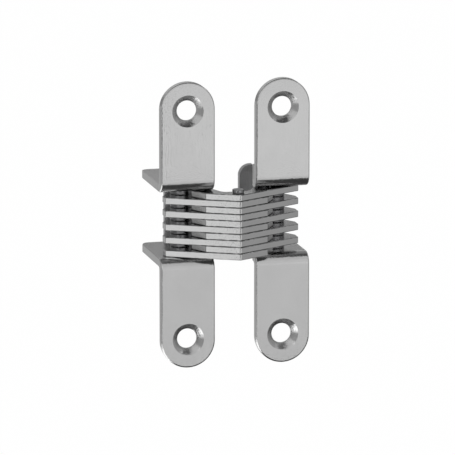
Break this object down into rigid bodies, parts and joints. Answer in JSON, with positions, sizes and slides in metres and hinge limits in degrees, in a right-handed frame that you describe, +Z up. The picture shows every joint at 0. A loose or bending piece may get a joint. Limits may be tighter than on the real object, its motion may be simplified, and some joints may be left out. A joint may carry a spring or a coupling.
{
  "type": "concealed hinge",
  "caption": "Concealed mortise hinge of folded sheet steel: two leaves with countersunk screw tongues, joined by crossed stacks of flat links on a centre pin.",
  "frame": {"origin": "middle of the left leaf's screw pattern, on the back of its tongues, which seats on the wood", "axes": "+X across to the right leaf, +Y from the front face into the mortise, +Z up along the leaf"},
  "size_m": [0.0332, 0.0238, 0.063],
  "materials": {
    "bracket_steel": "satin nickel plate on fine ground sheet",
    "link_steel": "bright nickel plate with a blanked edge",
    "tie_steel": "satin nickel plate",
    "pin_steel": "drawn steel, lightly oiled"
  },
  "bodies": {
    "left_leaf": {"left_upper_bracket": "bracket_steel", "left_lower_bracket": "bracket_steel", "left_tie_plate": "tie_steel", "left_pivot_pin": "pin_steel", "left_pivot_washer_1": "pin_steel", "left_pivot_washer_2": "pin_steel", "left_pivot_washer_3": "pin_steel", "left_pivot_washer_4": "pin_steel", "left_pivot_washer_5": "pin_steel"},
    "right_tip_links": {"right_tip_link_1": "link_steel", "right_tip_link_2": "link_steel", "right_tip_link_3": "link_steel", "right_tip_link_4": "link_steel", "right_tip_link_5": "link_steel", "right_slide_pin": "pin_steel", "right_slide_sleeve_1": "pin_steel", "right_slide_sleeve_2": "pin_steel", "right_slide_sleeve_3": "pin_steel", "right_slide_sleeve_4": "pin_steel", "right_slide_sleeve_5": "pin_steel", "centre_pin": "pin_steel"},
    "left_tip_links": {"left_tip_link_1": "link_steel", "left_tip_link_2": "link_steel", "left_tip_link_3": "link_steel", "left_tip_link_4": "link_steel", "left_tip_link_5": "link_steel", "left_slide_pin": "pin_steel", "left_slide_sleeve_1": "pin_steel", "left_slide_sleeve_2": "pin_steel", "left_slide_sleeve_3": "pin_steel", "left_slide_sleeve_4": "pin_steel", "left_slide_sleeve_5": "pin_steel"},
    "right_leaf": {"right_upper_bracket": "bracket_steel", "right_lower_bracket": "bracket_steel", "right_tie_plate": "tie_steel", "right_pivot_pin": "pin_steel", "right_pivot_washer_1": "pin_steel", "right_pivot_washer_2": "pin_steel", "right_pivot_washer_3": "pin_steel", "right_pivot_washer_4": "pin_steel", "right_pivot_washer_5": "pin_steel"}
  },
  "joints": [
    {"name": "left_pivot", "type": "hinge", "parent": "left_leaf", "child": "right_tip_links", "pos_m": [0.0038, 0.0017, 0], "axis": [0, 0, -1], "range_deg": [0, 109.55]},
    {"name": "centre_pivot", "type": "hinge", "parent": "right_tip_links", "child": "left_tip_links", "pos_m": [0.0106, -0.004, 0], "axis": [0, 0, -1], "range_deg": [-39.16, 0]},
    {"name": "right_pivot", "type": "hinge", "parent": "left_tip_links", "child": "right_leaf", "pos_m": [0.0174, 0.0017, 0], "axis": [0, 0, -1], "range_deg": [0, 109.6]}
  ],
  "couplings": [
    {"joint": "centre_pivot", "follows": "left_pivot", "ratio": -0.35698},
    {"joint": "right_pivot", "follows": "left_pivot", "ratio": 1}
  ]
}
